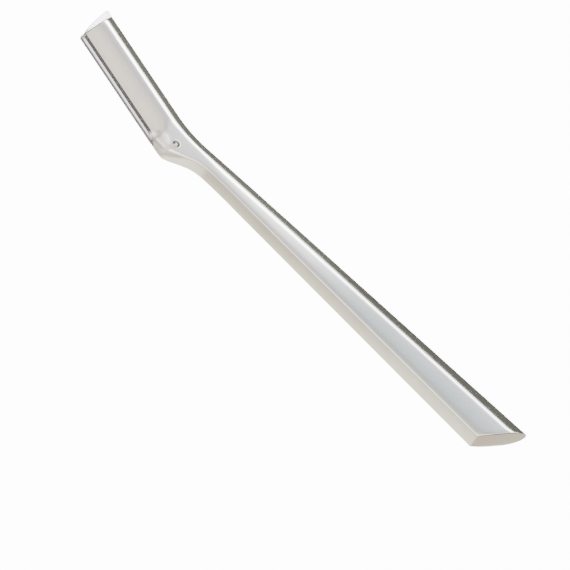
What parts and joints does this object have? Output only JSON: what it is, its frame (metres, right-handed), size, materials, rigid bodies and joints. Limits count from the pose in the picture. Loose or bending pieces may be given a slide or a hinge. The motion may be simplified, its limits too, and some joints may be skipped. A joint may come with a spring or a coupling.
{
  "type": "eyebrow razor",
  "caption": "Slim steel eyebrow razor: a flat-faced tapering handle with a bent head that holds a straight blade in a slide-out plastic cartridge with a domed clear end cap.",
  "frame": {"origin": "centre of the bounding box, at the height of the narrow flat strip along the back", "axes": "+X along the handle from the head to the butt, +Y towards the rounded spine, +Z out of the flat front face"},
  "size_m": [0.1448, 0.0219, 0.0064],
  "materials": {
    "brushed_body": "fine lengthwise brushing",
    "polished_steel": "polished",
    "spring_steel": "drawn wire",
    "blade_steel": "bright rolled, with a finely ground edge",
    "clear_plastic": "translucent moulded gloss",
    "pin_steel": "plain"
  },
  "bodies": {
    "body": {"handle": "brushed_body", "detent_plug": "polished_steel", "detent_spring": "spring_steel"},
    "ball": {"detent_ball": "polished_steel"},
    "cartridge": {"blade": "blade_steel", "blade_carrier": "clear_plastic", "carrier_pins": "pin_steel"}
  },
  "joints": [
    {"name": "cartridge_slide", "type": "slide", "parent": "body", "child": "cartridge", "axis": [-0.9563, 0.2924, 0], "range_m": [0, 0.039]},
    {"name": "ball_lift", "type": "slide", "parent": "body", "child": "ball", "axis": [0, 0, 1], "range_m": [0, 0.00028], "stiffness_N_per_m": 400, "springref_m": -0.0005, "deforming": ["detent_spring"]}
  ]
}
